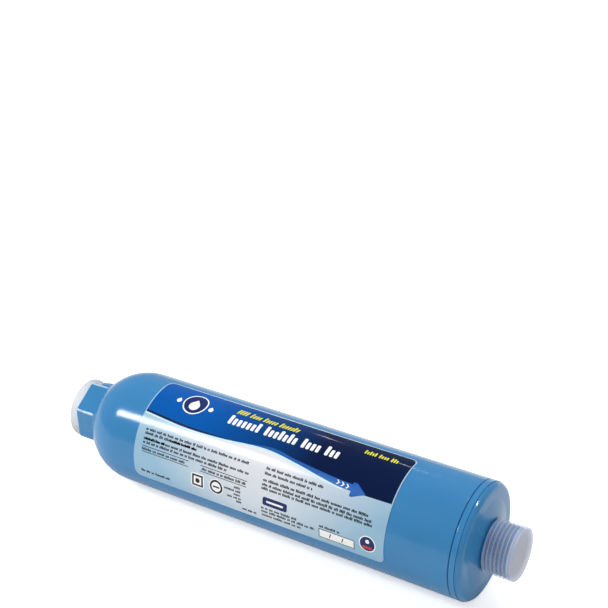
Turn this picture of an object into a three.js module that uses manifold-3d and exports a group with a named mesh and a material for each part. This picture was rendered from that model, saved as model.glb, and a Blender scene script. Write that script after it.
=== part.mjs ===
// Inline water filter for a 3/4 inch garden hose: a moulded canister with a dome and a hexagonal inlet
// collar, a spin-welded outlet end cap with a male hose thread, the packed media inside, and the two
// translucent caps that protect the threads before use.
// Millimetres. +X runs along the filter from inlet to outlet, +Z is up, and the origin is mid-axis.

import * as THREE from "three";
import { mergeVertices } from "three/addons/utils/BufferGeometryUtils.js";
import Module from "manifold-3d";

const wasm = await Module();
wasm.setup();

// ---------------------------------------------------------------- driving dimensions
const OVERALL_LENGTH = 279.6; // plug rim to thread cap end
const BODY_R = 32;
const WALL = 3;
const GAP = 0.3; // clearance between pieces that touch in the real filter

const PLUG_STANDS_PROUD = 5; // plug rim beyond the hex end face
const HEX_ACROSS_FLATS = 32.6;
const HEX_EDGE_R = 1.6; // rounding of the six upright edges
const HEX_FIRST_FLAT_DEG = 2; // direction of one flat, from +Y towards +Z
const HEX_CHAMFER = 0.6;

const HOSE_PITCH = 25.4 / 11.5; // 3/4 inch garden hose thread, 11.5 per inch
const MALE_CREST_R = 13.28;
const MALE_ROOT_R = 11.9;
const FEMALE_ROOT_R = 13.6;
const FEMALE_CREST_R = 12.5;
const MOUTH_R = 14.8;

const NIPPLE_LENGTH = 14.8;
const CAP_LENGTH = 16.2;
const CAP_R = 14.2;
const CAP_WALL = 0.8;
const WELD_FROM_CAP_END = 26.1; // weld line to thread cap end
const FLOW_R = 8.5;

const LABEL_LENGTH = 158.7;
const LABEL_CENTRE_X = -1.3;
const LABEL_FROM_DEG = 78.3; // angles from +Y towards +Z
const LABEL_TO_DEG = 196.1;
const LABEL_THICKNESS = 0.2;
const LABEL_CORNER_R = 4;

// ---------------------------------------------------------------- stations along the axis
const PLUG_RIM_X = -OVERALL_LENGTH / 2;
const HEX_END_X = PLUG_RIM_X + PLUG_STANDS_PROUD;
const DOME_CENTRE_X = -95.5;
const CAP_END_X = OVERALL_LENGTH / 2;
const CAP_BASE_X = CAP_END_X - CAP_LENGTH;
const WELD_X = CAP_END_X - WELD_FROM_CAP_END;
const NIPPLE_END_X = CAP_END_X - 1.4;
const BODY_END_X = WELD_X - GAP / 2;
const WASHER_SEAT_X = -121.4;
const SHELF_THICKNESS = 2.8;
const WASHER_THICKNESS = 3.2;
const SPIGOT_LENGTH = 7;

const BORE_R = BODY_R - WALL;
const FILL_R = BORE_R - GAP; // outer radius of the media and pads
const ROUND = 48; // facets round the large turned parts
const FILL_FACETS = 36; // facets round the media, pads and washer
const THREAD_STEPS = 24; // facets per turn of thread

// ---------------------------------------------------------------- materials
function finish(color, roughness, extra = {}) {
  return new THREE.MeshStandardMaterial({ color, roughness, metalness: 0, ...extra });
}
const blueShell = () => finish(0x458cc6, 0.22);
const frosted = () => finish(0xe9edf1, 0.45, { transparent: true, opacity: 0.55 });
const whitePlastic = () => finish(0xf0f0ec, 0.5);
const felt = () => finish(0xf2efe6, 0.95);

// ---------------------------------------------------------------- shape helpers
const rad = THREE.MathUtils.degToRad;

// A closed geometry as a manifold-3d solid, with shared vertices merged and collapsed faces dropped.
function solidOf(geometry) {
  const bare = geometry.clone();
  bare.deleteAttribute("normal");
  bare.deleteAttribute("uv");
  const merged = mergeVertices(bare, 1e-4);
  const index = merged.index.array;
  const kept = [];
  for (let i = 0; i < index.length; i += 3) {
    const [a, b, c] = [index[i], index[i + 1], index[i + 2]];
    if (a !== b && b !== c && c !== a) kept.push(a, b, c);
  }
  return new wasm.Manifold(
    new wasm.Mesh({
      numProp: 3,
      vertProperties: new Float32Array(merged.attributes.position.array),
      triVerts: new Uint32Array(kept),
    }),
  );
}

function geometryOf(solid) {
  const mesh = solid.getMesh();
  const geometry = new THREE.BufferGeometry();
  geometry.setAttribute("position", new THREE.BufferAttribute(new Float32Array(mesh.vertProperties), 3));
  geometry.setIndex(new THREE.BufferAttribute(new Uint32Array(mesh.triVerts), 1));
  geometry.computeVertexNormals();
  return geometry;
}

// Turns a profile of [x, r] points about the X axis. The outside is listed towards +X, the inside back.
function turned(profile, facets = ROUND) {
  const points = profile.map(([x, r]) => new THREE.Vector2(r, x));
  const lathe = new THREE.LatheGeometry(points, facets);
  lathe.rotateZ(-Math.PI / 2);
  return solidOf(lathe);
}

// A ring or tube profile closed on itself, from inner to outer radius.
function tube(x0, x1, inner, outer, facets = ROUND) {
  return turned([[x0, inner], [x0, outer], [x1, outer], [x1, inner], [x0, inner]], facets);
}

// Points [x, r] on an arc about (cx, cr), from one angle to another, measured from +x towards +r.
function arc(cx, cr, radius, fromDeg, toDeg, steps) {
  const points = [];
  for (let i = 0; i <= steps; i++) {
    const a = rad(fromDeg + ((toDeg - fromDeg) * i) / steps);
    points.push([cx + radius * Math.cos(a), cr + radius * Math.sin(a)]);
  }
  return points;
}

// Points [x, r] on a sphere centred on the axis at the dome's centre, between two stations.
function domeArc(radius, fromX, toX, steps) {
  const angle = (x) => THREE.MathUtils.radToDeg(Math.acos((x - DOME_CENTRE_X) / radius));
  return arc(DOME_CENTRE_X, 0, radius, angle(fromX), angle(toX), steps);
}

// A closed bar through `count` four-cornered sections, whose corners are listed one section after another.
function bar(vertices, count, reversed = false) {
  const faces = [];
  const quad = (a, b, c, d) => (reversed ? faces.push(d, c, b, d, b, a) : faces.push(a, b, c, a, c, d));
  for (let i = 0; i + 1 < count; i++) {
    for (let k = 0; k < 4; k++) {
      const next = (k + 1) % 4;
      quad(4 * i + k, 4 * i + next, 4 * (i + 1) + next, 4 * (i + 1) + k);
    }
  }
  const last = 4 * (count - 1);
  quad(3, 2, 1, 0);
  quad(last, last + 1, last + 2, last + 3);
  const geometry = new THREE.BufferGeometry();
  geometry.setAttribute("position", new THREE.BufferAttribute(new Float32Array(vertices), 3));
  geometry.setIndex(faces);
  return solidOf(geometry);
}

// A screw ridge of trapezoid section about the X axis, whose height fades in and out over part of a turn.
function threadRidge({ startX, turns, baseR, tipR, baseWidth, tipWidth }) {
  const steps = Math.round(turns * THREAD_STEPS);
  const fadeSteps = THREAD_STEPS / 3;
  const vertices = [];
  for (let i = 0; i <= steps; i++) {
    const angle = (i / THREAD_STEPS) * 2 * Math.PI;
    const x = startX + (HOSE_PITCH * i) / THREAD_STEPS;
    const fade = Math.max(0.05, Math.min(1, i / fadeSteps, (steps - i) / fadeSteps));
    const tip = baseR + (tipR - baseR) * fade;
    const section = [
      [x - baseWidth / 2, baseR],
      [x - tipWidth / 2, tip],
      [x + tipWidth / 2, tip],
      [x + baseWidth / 2, baseR],
    ];
    for (const [px, r] of section) vertices.push(px, r * Math.cos(angle), r * Math.sin(angle));
  }
  return bar(vertices, steps + 1, tipR > baseR);
}

// A plain disc across the axis.
function disc(x0, thickness, radius, facets = FILL_FACETS) {
  const x1 = x0 + thickness;
  return turned([[x0, 0], [x0, radius], [x1, radius], [x1, 0]], facets);
}

// A disc with rings of round holes through it. Each ring is [radius, number of holes].
function perforatedDisc(x0, thickness, radius, rings, holeR) {
  let plate = disc(x0, thickness, radius, ROUND);
  for (const [ringR, count] of rings) {
    for (let i = 0; i < count; i++) {
      const hole = new THREE.CylinderGeometry(holeR, holeR, thickness + 2, 10);
      hole.rotateZ(Math.PI / 2);
      const a = (i / count) * 2 * Math.PI;
      hole.translate(x0 + thickness / 2, ringR * Math.cos(a), ringR * Math.sin(a));
      plate = plate.subtract(solidOf(hole));
    }
  }
  return plate;
}

// ---------------------------------------------------------------- canister body
// The outline of the hexagonal collar in the YZ plane, with rounded upright edges.
function hexShape() {
  const flatR = HEX_ACROSS_FLATS / 2;
  const roundCentreR = (flatR - HEX_EDGE_R) / Math.cos(rad(30));
  const outline = [];
  for (let corner = 0; corner < 6; corner++) {
    const toCorner = HEX_FIRST_FLAT_DEG + 30 + 60 * corner;
    for (const turn of [-30, -10, 10, 30]) {
      outline.push(
        new THREE.Vector2(
          roundCentreR * Math.cos(rad(toCorner)) + HEX_EDGE_R * Math.cos(rad(toCorner + turn)),
          roundCentreR * Math.sin(rad(toCorner)) + HEX_EDGE_R * Math.sin(rad(toCorner + turn)),
        ),
      );
    }
  }
  return new THREE.Shape(outline);
}

// Maps a geometry drawn in the XY plane and extruded along +Z to the YZ plane, extruded along +X.
function alongX(geometry, startX) {
  geometry.rotateX(Math.PI / 2);
  geometry.rotateZ(Math.PI / 2);
  geometry.translate(startX, 0, 0);
  return geometry;
}

function hexCollar() {
  const length = DOME_CENTRE_X - HEX_END_X;
  const extrusion = new THREE.ExtrudeGeometry(hexShape(), { depth: length, bevelEnabled: false });
  const prism = alongX(extrusion, HEX_END_X);
  // A cone over the end face takes the sharp tips off the corners.
  const cornerR = HEX_ACROSS_FLATS / 2 / Math.cos(rad(30));
  const chamfer = turned([
    [HEX_END_X, 0],
    [HEX_END_X, cornerR - 2 * HEX_CHAMFER],
    [HEX_END_X + 2 * HEX_CHAMFER, cornerR + HEX_CHAMFER],
    [DOME_CENTRE_X, cornerR + HEX_CHAMFER],
    [DOME_CENTRE_X, 0],
  ]);
  return solidOf(prism).intersect(chamfer);
}

// The round moulded pad on the flat that faces up and away.
function mouldedPad() {
  const PAD_R = 5;
  const PAD_HEIGHT = 0.4;
  const PAD_FLAT_DEG = HEX_FIRST_FLAT_DEG + 60;
  const pad = new THREE.CylinderGeometry(PAD_R, PAD_R, 2, 28);
  pad.translate(HEX_END_X + 6.4, HEX_ACROSS_FLATS / 2 + PAD_HEIGHT - 1, 0);
  pad.rotateX(rad(PAD_FLAT_DEG));
  return solidOf(pad);
}

function canisterBody() {
  const outside = turned([
    [DOME_CENTRE_X - BODY_R, 0],
    ...domeArc(BODY_R, DOME_CENTRE_X - BODY_R * 0.985, DOME_CENTRE_X, 9),
    [BODY_END_X - 0.5, BODY_R],
    [BODY_END_X, BODY_R - 0.4],
    [BODY_END_X, 0],
  ]);
  const shelfInnerX = WASHER_SEAT_X + SHELF_THICKNESS;
  const cavity = turned([
    [HEX_END_X - 1, 0],
    [HEX_END_X - 1, MOUTH_R + 1],
    [HEX_END_X, MOUTH_R],
    [HEX_END_X + 1.6, FEMALE_ROOT_R],
    [WASHER_SEAT_X, FEMALE_ROOT_R],
    [WASHER_SEAT_X, FLOW_R],
    [shelfInnerX, FLOW_R],
    ...domeArc(BORE_R, shelfInnerX, DOME_CENTRE_X, 6),
    [BODY_END_X + 1, BORE_R],
    [BODY_END_X + 1, 0],
  ]);
  const thread = threadRidge({
    startX: HEX_END_X + 2.4,
    turns: 2.8,
    baseR: FEMALE_ROOT_R + 0.4,
    tipR: FEMALE_CREST_R,
    baseWidth: 1.9,
    tipWidth: 0.5,
  });
  return outside.add(hexCollar()).add(mouldedPad()).subtract(cavity).add(thread);
}

// ---------------------------------------------------------------- outlet end cap
function outletEndCap() {
  const flangeX = WELD_X + GAP / 2;
  const spigotX = WELD_X - SPIGOT_LENGTH;
  const SHOULDER_R = 3.2;
  const shoulderX = flangeX + 3.6;
  const spigotInnerR = FILL_R - WALL;
  const faceX = shoulderX + SHOULDER_R;
  const body = turned([
    [spigotX, spigotInnerR],
    [spigotX, FILL_R - 0.7],
    [spigotX + 0.7, FILL_R],
    [flangeX, FILL_R],
    [flangeX, BODY_R - 0.4],
    [flangeX + 0.5, BODY_R],
    ...arc(shoulderX, BODY_R - SHOULDER_R, SHOULDER_R, 90, 0, 4),
    [faceX + 0.5, 22],
    [faceX + 1.2, 17],
    [faceX + 2.2, 14.4],
    [CAP_BASE_X - GAP, MALE_CREST_R],
    [CAP_BASE_X + 0.6, MALE_CREST_R],
    [CAP_BASE_X + 1.4, MALE_ROOT_R],
    [NIPPLE_END_X - 1.2, MALE_ROOT_R],
    [NIPPLE_END_X, MALE_ROOT_R - 1],
    [NIPPLE_END_X, FLOW_R],
    [faceX - 1.6, FLOW_R],
    [faceX - 3.2, spigotInnerR],
    [spigotX, spigotInnerR],
  ]);
  const thread = threadRidge({
    startX: CAP_BASE_X + 1.6,
    turns: (NIPPLE_LENGTH - 4.2) / HOSE_PITCH,
    baseR: MALE_ROOT_R - 0.4,
    tipR: MALE_CREST_R,
    baseWidth: 1.9,
    tipWidth: 0.5,
  });
  return body.add(thread);
}

// ---------------------------------------------------------------- label
// Half the label's length at an angle round the body: full length, less near the two long edges.
function labelHalfLength(angle) {
  const fromEdge = rad(Math.min(angle - LABEL_FROM_DEG, LABEL_TO_DEG - angle)) * BODY_R;
  const intoCorner = Math.max(0, LABEL_CORNER_R - fromEdge);
  return LABEL_LENGTH / 2 - LABEL_CORNER_R + Math.sqrt(LABEL_CORNER_R ** 2 - intoCorner ** 2 + 0.01);
}

// A thin sheet wrapped round the body, with rounded corners.
function labelSheet() {
  const innerR = BODY_R + 0.06;
  const outerR = innerR + LABEL_THICKNESS;
  const cornerTurn = THREE.MathUtils.radToDeg(LABEL_CORNER_R / BODY_R);
  const angles = [];
  for (let i = 0; i < 4; i++) angles.push(LABEL_FROM_DEG + (cornerTurn * i) / 4);
  const [first, last] = [LABEL_FROM_DEG + 8, LABEL_TO_DEG - 8];
  const spans = Math.ceil((last - first) / 5);
  for (let i = 0; i <= spans; i++) angles.push(first + ((last - first) * i) / spans);
  for (let i = 3; i >= 0; i--) angles.push(LABEL_TO_DEG - (cornerTurn * i) / 4);
  const vertices = [];
  for (const angle of angles) {
    const half = labelHalfLength(angle);
    const [x0, x1] = [LABEL_CENTRE_X - half, LABEL_CENTRE_X + half];
    const [c, s] = [Math.cos(rad(angle)), Math.sin(rad(angle))];
    vertices.push(x0, innerR * c, innerR * s, x1, innerR * c, innerR * s);
    vertices.push(x1, outerR * c, outerR * s, x0, outerR * c, outerR * s);
  }
  return bar(vertices, angles.length);
}

// ---------------------------------------------------------------- protective caps
// Push-in plug: a shallow cup with a wide funnel rim.
function inletPlug() {
  const WALL_T = 1.1;
  const RIM_R = 17.3;
  const NECK_R = 12.9;
  const BARREL_R = 12.2;
  const bottomX = WASHER_SEAT_X - WASHER_THICKNESS - 1.3;
  return turned([
    [bottomX - WALL_T, 0],
    [bottomX - WALL_T, BARREL_R - WALL_T - 1],
    [bottomX - WALL_T - 0.8, BARREL_R - WALL_T - 0.2],
    [HEX_END_X - 1.6, BARREL_R - WALL_T + 0.2],
    [HEX_END_X - 2.2, BARREL_R - WALL_T + 0.9],
    [PLUG_RIM_X + 0.3, RIM_R - 1.2],
    [PLUG_RIM_X, RIM_R - 0.6],
    [PLUG_RIM_X + 0.2, RIM_R - 0.1],
    [PLUG_RIM_X + 0.7, RIM_R],
    [PLUG_RIM_X + 1.3, RIM_R - 0.4],
    [HEX_END_X - 1, NECK_R + 0.2],
    [HEX_END_X, NECK_R],
    [HEX_END_X + 1.6, BARREL_R],
    [bottomX - 0.8, BARREL_R - 0.3],
    [bottomX, BARREL_R - 1.1],
    [bottomX, 0],
  ]);
}

// Push-on thread cap: a plain closed sleeve.
function outletThreadCap() {
  const innerR = CAP_R - CAP_WALL;
  const CORNER_R = 1.1;
  const floorX = NIPPLE_END_X + 0.4;
  return turned([
    [floorX, 0],
    [floorX, innerR - 0.8],
    [floorX - 0.7, innerR],
    [CAP_BASE_X, innerR],
    [CAP_BASE_X, CAP_R],
    ...arc(CAP_END_X - CORNER_R, CAP_R - CORNER_R, CORNER_R, 90, 0, 4),
    [CAP_END_X, 0],
  ]);
}

// ---------------------------------------------------------------- inside: washer, screens, pads and media
const GRID_X = WASHER_SEAT_X + SHELF_THICKNESS + GAP;
const GRID_T = 2.4;
const INLET_GRID_R = 16.2;
const INLET_HOLES = [[6, 6], [11.8, 12]]; // each ring is [radius, number of holes]
const INLET_HOLE_R = 1.6;
const PAD_X = GRID_X + GRID_T + GAP;
const PAD_T = 6;
const COPPER_ZINC_X = PAD_X + PAD_T + GAP;
const COPPER_ZINC_T = 10;
const SEPARATOR_X = COPPER_ZINC_X + COPPER_ZINC_T + GAP;
const SEPARATOR_T = 3;
const CARBON_X = SEPARATOR_X + SEPARATOR_T + GAP;
const OUTLET_GRID_T = 3.4;
const OUTLET_GRID_X = WELD_X - SPIGOT_LENGTH - GAP - OUTLET_GRID_T;
const OUTLET_HOLES = [[8, 6], [15.5, 12], [23, 16]];
const OUTLET_HOLE_R = 2.2;
const SCREEN_T = 0.4;
const OUTLET_SCREEN_X = OUTLET_GRID_X - GAP - SCREEN_T;
const OUTLET_PAD_T = 6;
const OUTLET_PAD_X = OUTLET_SCREEN_X - GAP - OUTLET_PAD_T;

// A layer whose rim follows the inside of the dome.
function domedLayer(x0, thickness) {
  const x1 = x0 + thickness;
  const rim = domeArc(FILL_R, x0, x1, 2);
  return turned([[x0, 0], ...rim, [x1, 0]], FILL_FACETS);
}

// The washer sits on the rim of the screen.
function hoseWasher() {
  const x1 = WASHER_SEAT_X - 2 * SCREEN_T + 0.1;
  return tube(x1 - WASHER_THICKNESS, x1, FLOW_R - 0.5, FEMALE_ROOT_R - GAP, FILL_FACETS);
}

// The inlet screen is a shallow cup of wire mesh, held at its flat rim under the washer.
function inletScreen() {
  const CUP_DEPTH = 2.2;
  const CUP_R = FLOW_R - 2.4;
  const x0 = WASHER_SEAT_X - SCREEN_T - 0.1;
  const rimR = FEMALE_ROOT_R - GAP;
  return turned(
    [
      [x0 + CUP_DEPTH, 0],
      [x0 + CUP_DEPTH, CUP_R],
      [x0, FLOW_R - 1],
      [x0, rimR],
      [x0 + SCREEN_T, rimR],
      [x0 + SCREEN_T, FLOW_R - 0.8],
      [x0 + CUP_DEPTH + SCREEN_T, CUP_R + 0.2],
      [x0 + CUP_DEPTH + SCREEN_T, 0],
    ],
    FILL_FACETS,
  );
}

// ---------------------------------------------------------------- assembly
const filter = new THREE.Group();
filter.name = "inline_water_filter";

function add(name, solid, material) {
  const mesh = new THREE.Mesh(geometryOf(solid), material);
  mesh.name = name;
  filter.add(mesh);
}

add("canister_body", canisterBody(), blueShell());
add("outlet_end_cap", outletEndCap(), blueShell());
add("product_label", labelSheet(), finish(0x2f6fb4, 0.35));
add("inlet_plug", inletPlug(), frosted());
add("outlet_thread_cap", outletThreadCap(), frosted());
add("hose_washer", hoseWasher(), finish(0x1b1b1d, 0.8));
add("inlet_screen", inletScreen(), finish(0xb9bcc0, 0.35, { metalness: 1 }));
add("inlet_grid", perforatedDisc(GRID_X, GRID_T, INLET_GRID_R, INLET_HOLES, INLET_HOLE_R), whitePlastic());
add("inlet_pad", domedLayer(PAD_X, PAD_T), felt());
add("copper_zinc_bed", domedLayer(COPPER_ZINC_X, COPPER_ZINC_T), finish(0xa9853c, 0.5, { metalness: 0.7 }));
add("separator_pad", domedLayer(SEPARATOR_X, SEPARATOR_T), felt());
add("carbon_bed", disc(CARBON_X, OUTLET_PAD_X - GAP - CARBON_X, FILL_R), finish(0x151515, 0.9));
add("outlet_pad", disc(OUTLET_PAD_X, OUTLET_PAD_T, FILL_R), felt());
add("outlet_screen", disc(OUTLET_SCREEN_X, SCREEN_T, FILL_R), finish(0xdfe3e6, 0.6));
add(
  "outlet_grid",
  perforatedDisc(OUTLET_GRID_X, OUTLET_GRID_T, FILL_R, OUTLET_HOLES, OUTLET_HOLE_R),
  whitePlastic(),
);

export default filter;
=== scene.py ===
"""The looks of an inline water filter: fine shells, a printed label, finishes, studio and camera.

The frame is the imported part: +X runs from inlet to outlet and +Z is up. Shapes are worked out in
millimetres and turned into metres as each mesh is made.
"""

import math
import random

import bmesh
import bpy
from mathutils import Matrix, Vector, noise


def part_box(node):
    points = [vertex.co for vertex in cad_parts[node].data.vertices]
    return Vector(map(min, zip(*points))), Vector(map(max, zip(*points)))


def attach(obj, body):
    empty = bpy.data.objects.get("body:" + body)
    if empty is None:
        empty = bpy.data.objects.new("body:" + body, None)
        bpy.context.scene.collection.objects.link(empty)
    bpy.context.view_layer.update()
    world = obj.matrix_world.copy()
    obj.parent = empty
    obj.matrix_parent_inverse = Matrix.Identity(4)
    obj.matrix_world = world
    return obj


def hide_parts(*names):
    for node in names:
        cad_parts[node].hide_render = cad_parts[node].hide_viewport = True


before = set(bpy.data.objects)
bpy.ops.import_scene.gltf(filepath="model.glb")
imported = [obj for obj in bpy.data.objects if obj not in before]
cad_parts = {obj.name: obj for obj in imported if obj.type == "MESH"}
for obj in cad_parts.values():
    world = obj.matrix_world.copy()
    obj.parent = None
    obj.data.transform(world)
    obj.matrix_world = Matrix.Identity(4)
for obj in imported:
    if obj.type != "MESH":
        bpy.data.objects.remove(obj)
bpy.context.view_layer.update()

MM = 0.001


def extent(node):
    """The lowest and highest corners of a CAD node, in millimetres."""
    low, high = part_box(node)
    return low / MM, high / MM


# ---------------------------------------------------------------- sizes
BODY_LOW, BODY_HIGH = extent("canister_body")
END_CAP_LOW, END_CAP_HIGH = extent("outlet_end_cap")
PLUG_LOW, PLUG_HIGH = extent("inlet_plug")
THREAD_CAP_LOW, THREAD_CAP_HIGH = extent("outlet_thread_cap")
LABEL_LOW, LABEL_HIGH = extent("product_label")
WASHER_LOW, WASHER_HIGH = extent("hose_washer")
SCREEN_LOW, SCREEN_HIGH = extent("inlet_screen")

BODY_R = BODY_HIGH.z
HEX_END = BODY_LOW.x
BODY_END = BODY_HIGH.x  # the weld line
DOME_CENTRE = -95.5
WALL = 3.0
BORE_R = BODY_R - WALL
FLOW_R = 8.5
SHELF_T = 2.8
WASHER_SEAT = WASHER_HIGH.x + 0.7

HEX_FLAT_R = 16.3
HEX_EDGE_R = 1.8
HEX_FIRST_FLAT = math.radians(2)
SIXTH = math.radians(60)
FILLET = 1.6  # where the collar runs into the dome
PAD_R = 5.0  # the round moulded pad on the collar
PAD_FROM_END = 6.4

HOSE_PITCH = 25.4 / 11.5
MALE_ROOT_R = 11.9
MALE_CREST_R = 13.28
FEMALE_ROOT_R = 13.6
FEMALE_CREST_R = 12.5
MOUTH_R = 14.8
THREAD_ROW = 0.18  # distance between rows of vertices along a thread

FILL_R = BORE_R - 0.3
SCREEN_T = 0.4
GAP_R = 12.3  # bottom of the gap between the end cap's face and the thread cap
CAP_WALL = 0.8
CAP_RELIEF = 0.05  # how far each turn of thread pushes the thread cap out

LABEL_FROM = math.radians(78.3)
LABEL_TO = math.radians(196.1)
LABEL_CENTRE = (LABEL_LOW.x + LABEL_HIGH.x) / 2
LABEL_HALF = 82.15  # the artwork is drawn on a sheet this size and fitted to the label
LABEL_HEIGHT = 68.7
ART_SCALE = (LABEL_HIGH.x - LABEL_LOW.x) / (2 * LABEL_HALF)
LABEL_CORNER = 4.0
SHEET_BOTTOM = 0.06  # heights above the canister wall
SHEET_TOP = 0.26
INK_BOTTOM = 0.24
INK_STEP = 0.02


# ---------------------------------------------------------------- mesh helpers
def smooth_step(t):
    t = min(1.0, max(0.0, t))
    return t * t * (3 - 2 * t)


def lerp(a, b, t):
    return a + (b - a) * t


def add_piece(name, mesh, body, replaced, slot_name, *materials, sharp=35):
    """Puts a finished mesh in the scene as a piece that rides on a CAD body."""
    piece = bpy.data.objects.new(name, mesh)
    bpy.context.scene.collection.objects.link(piece)
    for material in materials:
        mesh.materials.append(material)
    mesh.shade_smooth()
    mesh.set_sharp_from_angle(angle=math.radians(sharp))
    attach(piece, body)
    if replaced:
        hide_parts(*replaced)
    return piece


def to_mesh(name, bm):
    bmesh.ops.recalc_face_normals(bm, faces=bm.faces)
    bmesh.ops.scale(bm, vec=(MM, MM, MM), verts=bm.verts)
    mesh = bpy.data.meshes.new(name)
    bm.to_mesh(mesh)
    bm.free()
    return mesh


def rounded(points, steps=5):
    """A profile with its corners rounded. Each point is (x, r) or (x, r, fillet radius)."""
    result = []
    for i, point in enumerate(points):
        radius = point[2] if len(point) > 2 else 0
        here = Vector(point[:2])
        if not radius or i in (0, len(points) - 1):
            result.append((here.x, here.y))
            continue
        before = (Vector(points[i - 1][:2]) - here).normalized()
        after = (Vector(points[i + 1][:2]) - here).normalized()
        half = before.angle(after) / 2
        reach = radius / math.tan(half)
        centre = here + (before + after).normalized() * (radius / math.sin(half))
        start = here + before * reach - centre
        turn = (here + after * reach - centre).angle_signed(start)
        for k in range(steps + 1):
            place = centre + Matrix.Rotation(turn * k / steps, 2) @ start
            result.append((place.x, place.y))
    return result


def around(count):
    return [math.tau * k / count for k in range(count)]


def turned(name, rows, angles):
    """A closed mesh about the X axis, made from rows as add_turned takes them."""
    bm = bmesh.new()
    add_turned(bm, rows, angles)
    return to_mesh(name, bm)


def add_turned(bm, rows, angles):
    """Adds a closed body about the X axis. A row is (x, r), and r may be a function of the angle.
    The rows start and end on the axis, or else the last one joins the first."""
    loops = []
    for x, r in rows:
        if r == 0:
            loops.append([bm.verts.new((x, 0, 0))])
            continue
        loop = []
        for angle in angles:
            reach = r(angle) if callable(r) else r
            loop.append(bm.verts.new((x, reach * math.cos(angle), reach * math.sin(angle))))
        loops.append(loop)
    pairs = list(zip(loops, loops[1:]))
    if len(loops[0]) > 1 and len(loops[-1]) > 1:
        pairs.append((loops[-1], loops[0]))
    for a, b in pairs:
        for k in range(len(angles)):
            n = (k + 1) % len(angles)
            if len(a) == 1:
                bm.faces.new((a[0], b[k], b[n]))
            elif len(b) == 1:
                bm.faces.new((a[k], b[0], a[n]))
            else:
                bm.faces.new((a[k], b[k], b[n], a[n]))


ROUND = around(288)  # angles round the large turned pieces
SMALL_ROUND = around(144)


def stations(start, end, step):
    count = max(1, round(abs(end - start) / step))
    return [lerp(start, end, i / count) for i in range(count + 1)]


def thread_height(x, angle, start, end, height):
    """How far a right-handed hose thread stands off its root, fading in and out at its ends."""
    crest_half, flank, fade = 0.3, 0.65, 1.3
    phase = ((x - start) / HOSE_PITCH - angle / math.tau) % 1.0
    from_crest = abs(phase - 0.5) * HOSE_PITCH
    ridge = smooth_step((crest_half + flank - from_crest) / flank)
    return height * ridge * smooth_step(min((x - start) / fade, (end - x) / fade))


def thread_rows(start, end, root, crest):
    """Rows of a threaded surface between two stations, in the order start to end."""
    low, high = min(start, end), max(start, end)

    def row(x):
        return lambda angle: root + thread_height(x, angle, low, high, crest - root)

    return [(x, row(x)) for x in stations(start, end, THREAD_ROW)]


# ---------------------------------------------------------------- materials
def srgb(red, green, blue):
    """A colour given as 0 to 255 screen values, made linear."""
    def linear(c):
        c /= 255
        return c / 12.92 if c <= 0.04045 else ((c + 0.055) / 1.055) ** 2.4
    return (linear(red), linear(green), linear(blue), 1.0)


BODY_BLUE = srgb(50, 130, 186)
BAND_BLUE = srgb(0, 88, 172)
BAND_NAVY = srgb(4, 24, 66)
SWOOSH_BLUE = srgb(30, 90, 170)
SWOOSH_TIP = srgb(24, 98, 186)
PAPER_WHITE = srgb(232, 234, 240)
PAPER_BLUE = srgb(150, 190, 216)
FILM_SHINE = 0.3  # how strongly the label's clear film mirrors
# the pale colour painted along the collar's upright edges as a painted highlight
EDGE_HIGHLIGHT_PALE = srgb(236, 246, 252)
EDGE_HIGHLIGHT_HALF = math.radians(2.6)  # half the width of the painted highlight along each collar edge, seen from the axis
FILM_SKIN = 0.000004  # depths of fine moulding and printing texture, in metres
MOULD_SKIN = 0.000002
FROST_SKIN = 0.000003


class Finish:
    """A material being built from nodes, with its pattern fixed to the piece."""

    def __init__(self, name):
        self.material = bpy.data.materials.new(name)
        self.material.use_nodes = True
        self.tree = self.material.node_tree
        self.shader = self.tree.nodes["Principled BSDF"]
        self.output = self.tree.nodes["Material Output"]
        self.place = self.node("ShaderNodeTexCoord").outputs["Object"]

    def node(self, kind, settings=None, **inputs):
        made = self.tree.nodes.new(kind)
        for key, value in (settings or {}).items():
            setattr(made, key, value)
        for key, value in inputs.items():
            self.set(made.inputs[key.replace("_", " ")], value)
        return made

    def set(self, socket, value):
        if isinstance(value, bpy.types.NodeSocket):
            self.tree.links.new(value, socket)
        else:
            socket.default_value = value

    def surface(self, **inputs):
        for key, value in inputs.items():
            self.set(self.shader.inputs[key.replace("_", " ")], value)

    def noise(self, scale, detail=2.0, stretch=(1, 1, 1)):
        mapping = self.node("ShaderNodeMapping", Vector=self.place, Scale=stretch)
        made = self.node("ShaderNodeTexNoise", Vector=mapping.outputs[0], Scale=scale, Detail=detail)
        return made.outputs["Fac"]

    def ramp(self, value, low, high, from_low=0.0, from_high=1.0):
        made = self.node("ShaderNodeMapRange", Value=value, From_Min=from_low, From_Max=from_high)
        made.inputs["To Min"].default_value = low
        made.inputs["To Max"].default_value = high
        return made.outputs[0]

    def mix(self, factor, first, second):
        made = self.node("ShaderNodeMix", {"data_type": "RGBA"})
        for socket, value in zip((0, 6, 7), (factor, first, second)):
            self.set(made.inputs[socket], value)
        return made.outputs[2]

    def maths(self, operation, *values, clamp=False):
        made = self.node("ShaderNodeMath", {"operation": operation, "use_clamp": clamp})
        for socket, value in zip(made.inputs, values):
            self.set(socket, value)
        return made.outputs[0]

    def bump(self, height, distance, strength=1.0):
        made = self.node("ShaderNodeBump", Height=height, Strength=strength)
        made.inputs["Distance"].default_value = distance
        return made.outputs[0]

    def axis(self, letter):
        return self.node("ShaderNodeSeparateXYZ", Vector=self.place).outputs[letter]


def shade(colour, factor):
    """A colour made darker or lighter."""
    return tuple(min(1.0, c * factor) for c in colour[:3]) + (1.0,)


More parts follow.
